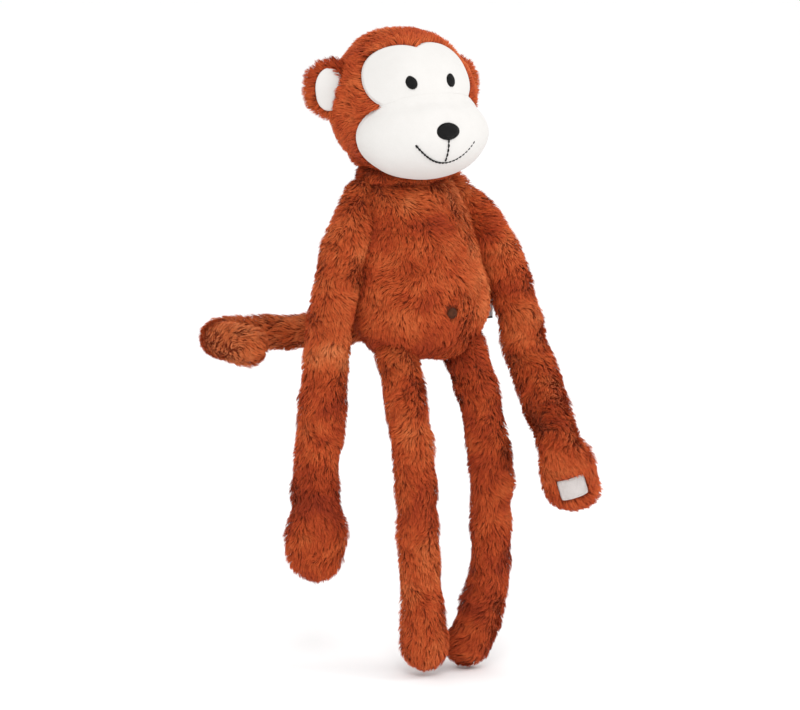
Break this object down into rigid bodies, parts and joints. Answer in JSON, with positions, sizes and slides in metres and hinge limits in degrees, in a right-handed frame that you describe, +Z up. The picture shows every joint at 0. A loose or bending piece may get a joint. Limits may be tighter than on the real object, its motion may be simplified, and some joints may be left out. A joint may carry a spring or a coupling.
{
  "type": "stuffed monkey",
  "caption": "Limp long-limbed stuffed monkey with a white face, hanging arms and legs, a trailing tail and hook-and-loop palms.",
  "frame": {"origin": "centre of the flat seat under the torso", "axes": "+Z up along the sitting torso, -Y the way the toy faces, -X its right side"},
  "size_m": [0.289, 0.2344, 0.5457],
  "materials": {
    "rust_plush": "long-pile plush, matt, rust brown",
    "white_plush": "short-pile plush, matt, warm white",
    "filling": "loose polyester fibre filling",
    "black_thread": "satin-stitch embroidery, slight sheen",
    "brown_thread": "satin-stitch embroidery",
    "hook_and_loop": "hook-and-loop tape with a stitched border",
    "label_tape": "folded woven tape, blank"
  },
  "bodies": {
    "root": {"torso_front_cover": "rust_plush", "torso_back_cover": "rust_plush", "seat_panel": "rust_plush", "torso_stuffing": "filling", "belly_button": "brown_thread", "side_label": "label_tape"},
    "neck": {"neck_stuffing": "filling"},
    "head": {"head_cover": "rust_plush", "face_panel": "white_plush", "muzzle_panel": "white_plush", "head_stuffing": "filling", "right_ear_back": "rust_plush", "right_ear_lining": "white_plush", "left_ear_back": "rust_plush", "left_ear_lining": "white_plush", "right_eye": "black_thread", "left_eye": "black_thread", "nose": "black_thread", "smile": "black_thread", "philtrum": "black_thread"},
    "right_upper_arm": {"right_upper_arm_cover": "rust_plush", "right_upper_arm_stuffing": "filling"},
    "right_forearm": {"right_forearm_cover": "rust_plush", "right_forearm_stuffing": "filling"},
    "right_hand": {"right_hand_cover": "rust_plush", "right_hand_stuffing": "filling", "right_palm_patch": "hook_and_loop"},
    "left_upper_arm": {"left_upper_arm_cover": "rust_plush", "left_upper_arm_stuffing": "filling"},
    "left_forearm": {"left_forearm_cover": "rust_plush", "left_forearm_stuffing": "filling"},
    "left_hand": {"left_hand_cover": "rust_plush", "left_hand_stuffing": "filling", "left_palm_patch": "hook_and_loop"},
    "right_thigh": {"right_thigh_cover": "rust_plush", "right_thigh_stuffing": "filling"},
    "right_shin": {"right_shin_cover": "rust_plush", "right_shin_stuffing": "filling"},
    "left_thigh": {"left_thigh_cover": "rust_plush", "left_thigh_stuffing": "filling"},
    "left_shin": {"left_shin_cover": "rust_plush", "left_shin_stuffing": "filling"},
    "tail_base": {"tail_base_cover": "rust_plush", "tail_base_stuffing": "filling"},
    "tail_middle": {"tail_middle_cover": "rust_plush", "tail_middle_stuffing": "filling"},
    "tail_tip": {"tail_tip_cover": "rust_plush", "tail_tip_stuffing": "filling"}
  },
  "joints": [
    {"name": "neck_turn", "type": "hinge", "parent": "root", "child": "neck", "pos_m": [-0.00698, 0.02138, 0.155], "axis": [0, 0, 1], "range_deg": [-30, 30]},
    {"name": "neck_nod", "type": "hinge", "parent": "neck", "child": "head", "pos_m": [-0.00698, 0.02138, 0.155], "axis": [1, 0, 0], "range_deg": [-16, 10]},
    {"name": "right_shoulder", "type": "hinge", "parent": "root", "child": "right_upper_arm", "pos_m": [-0.05807, 0.01998, 0.146], "axis": [-1, 0, 0], "range_deg": [-12, 75]},
    {"name": "right_elbow", "type": "hinge", "parent": "right_upper_arm", "child": "right_forearm", "pos_m": [-0.089, 0.009, 0.01], "axis": [-1, 0, 0], "range_deg": [-10, 85]},
    {"name": "right_wrist", "type": "hinge", "parent": "right_forearm", "child": "right_hand", "pos_m": [-0.095, 0.012, -0.106], "axis": [0.866, -0.5, 0.0087], "range_deg": [-30, 60]},
    {"name": "left_shoulder", "type": "hinge", "parent": "root", "child": "left_upper_arm", "pos_m": [0.04493, 0.01998, 0.146], "axis": [-1, 0, 0], "range_deg": [-35, 75]},
    {"name": "left_elbow", "type": "hinge", "parent": "left_upper_arm", "child": "left_forearm", "pos_m": [0.09, -0.018, 0.01], "axis": [-1, 0, 0], "range_deg": [-45, 45]},
    {"name": "left_wrist", "type": "hinge", "parent": "left_forearm", "child": "left_hand", "pos_m": [0.08, -0.094, -0.068], "axis": [-0.8515, 0.4293, -0.3011], "range_deg": [-30, 60]},
    {"name": "right_hip", "type": "hinge", "parent": "root", "child": "right_thigh", "pos_m": [-0.034, -0.024, -0.013], "axis": [-1, 0, 0], "range_deg": [-30, 85]},
    {"name": "right_knee", "type": "hinge", "parent": "right_thigh", "child": "right_shin", "pos_m": [-0.029, -0.041, -0.122], "axis": [1, 0, 0], "range_deg": [-10, 100]},
    {"name": "left_hip", "type": "hinge", "parent": "root", "child": "left_thigh", "pos_m": [0.034, -0.024, -0.013], "axis": [-1, 0, 0], "range_deg": [-30, 85]},
    {"name": "left_knee", "type": "hinge", "parent": "left_thigh", "child": "left_shin", "pos_m": [0.041, -0.047, -0.122], "axis": [1, 0, 0], "range_deg": [-10, 100]},
    {"name": "tail_sweep", "type": "hinge", "parent": "root", "child": "tail_base", "pos_m": [0, 0.0625, 0.021], "axis": [0, 0, -1], "range_deg": [-8, 130]},
    {"name": "tail_fold", "type": "hinge", "parent": "tail_base", "child": "tail_middle", "pos_m": [-0.132, 0.112, 0.0142], "axis": [0, 0, -1], "range_deg": [-10, 130]},
    {"name": "tail_curl", "type": "hinge", "parent": "tail_middle", "child": "tail_tip", "pos_m": [-0.154, 0.091, 0.0142], "axis": [0, 0, -1], "range_deg": [-10, 130]}
  ]
}
